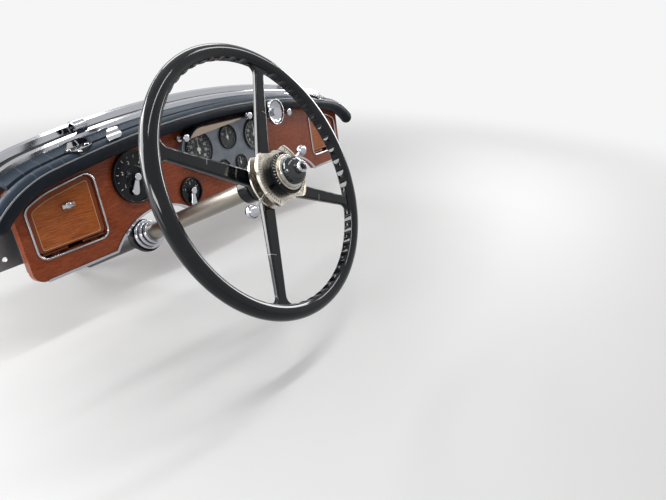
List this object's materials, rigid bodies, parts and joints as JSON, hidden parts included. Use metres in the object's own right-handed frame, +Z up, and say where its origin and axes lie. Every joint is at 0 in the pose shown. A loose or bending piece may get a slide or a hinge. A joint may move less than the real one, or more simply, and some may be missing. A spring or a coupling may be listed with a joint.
{
  "type": "vintage car dashboard with steering column and wheel",
  "caption": "Veneered dashboard with gauges, two gloveboxes and padded leather roll, carrying a raked steering column, four-spoke wheel and hand levers.",
  "frame": {"origin": "centre of the four body bolt holes, on the forward face of the end brackets' flanges", "axes": "+X to the car's right, +Y forward, +Z up"},
  "size_m": [1.2039, 0.7598, 0.559],
  "materials": {
    "dash_veneer": "lacquered dark reddish veneer",
    "door_veneer": "lacquered orange-brown veneer with a thin pale inlay line",
    "bright_trim": "polished bright plating",
    "bin_board": "plain thin board",
    "plate_metal": "dull grey plate",
    "wheel_gloss": "gloss black hard composition over the wheel's rim and spokes",
    "black_enamel": "gloss black enamel",
    "dial_black": "matt black dial with plain pale marks",
    "needle_white": "off-white paint",
    "gauge_glass": "clear flat glass",
    "dash_leather": "black leather with fine grain",
    "sill_rubber": "black rubber channel",
    "bracket_steel": "plain steel",
    "satin_nickel": "satin nickel"
  },
  "bodies": {
    "dash": {"dash_panel": "dash_veneer", "lower_trim": "bright_trim", "left_box_bead": "bright_trim", "right_box_bead": "bright_trim", "left_box_bin": "bin_board", "right_box_bin": "bin_board", "left_fixed_hinge": "bright_trim", "right_fixed_hinge": "bright_trim", "instrument_plate": "plate_metal", "gauge_cans": "black_enamel", "gauge_dials": "dial_black", "gauge_bezels": "bright_trim", "gauge_needles": "needle_white", "gauge_glasses": "gauge_glass", "lamp_hood": "black_enamel", "hood_knobs": "bright_trim", "switch_dials": "black_enamel", "switch_bezels": "black_enamel", "switch_levers": "bright_trim", "dished_knob": "bright_trim", "ball_knob": "bright_trim", "hood_flap": "bright_trim", "rail_cups": "bright_trim", "top_roll": "dash_leather", "sill_board": "dash_leather", "near_rail": "bright_trim", "sill_rubber": "sill_rubber", "far_rail": "bright_trim", "left_end_bracket": "bracket_steel", "right_end_bracket": "bracket_steel", "column_jacket": "satin_nickel", "column_head": "black_enamel", "column_collar": "bright_trim", "collar_ring": "black_enamel", "column_clamp": "bracket_steel", "control_tube": "bracket_steel", "low_quadrant": "satin_nickel", "high_quadrant": "satin_nickel", "upper_hand_lever": "bright_trim", "lower_hand_lever": "bright_trim", "control_ring": "black_enamel", "horn_steps": "satin_nickel", "horn_dome": "black_enamel", "horn_knob": "bright_trim"},
    "steering_wheel": {"wheel_rim": "wheel_gloss", "wheel_spider": "wheel_gloss", "steering_shaft": "bracket_steel"},
    "left_door": {"left_box_door": "door_veneer", "left_box_catch": "bright_trim", "left_door_hinge": "bright_trim"},
    "right_door": {"right_box_door": "door_veneer", "right_box_catch": "bright_trim", "right_door_hinge": "bright_trim"}
  },
  "joints": [
    {"name": "steering", "type": "hinge", "parent": "dash", "child": "steering_wheel", "pos_m": [-0.3, -0.39899, 0.0909], "axis": [0, -0.8829, 0.4695], "range_deg": [-618.5, 581.5]},
    {"name": "left_door_hinge", "type": "hinge", "parent": "dash", "child": "left_door", "pos_m": [-0.455, -0.04913, -0.05411], "axis": [1, 0, 0], "range_deg": [0, 85]},
    {"name": "right_door_hinge", "type": "hinge", "parent": "dash", "child": "right_door", "pos_m": [0.455, -0.04913, -0.05411], "axis": [1, 0, 0], "range_deg": [0, 85]}
  ]
}
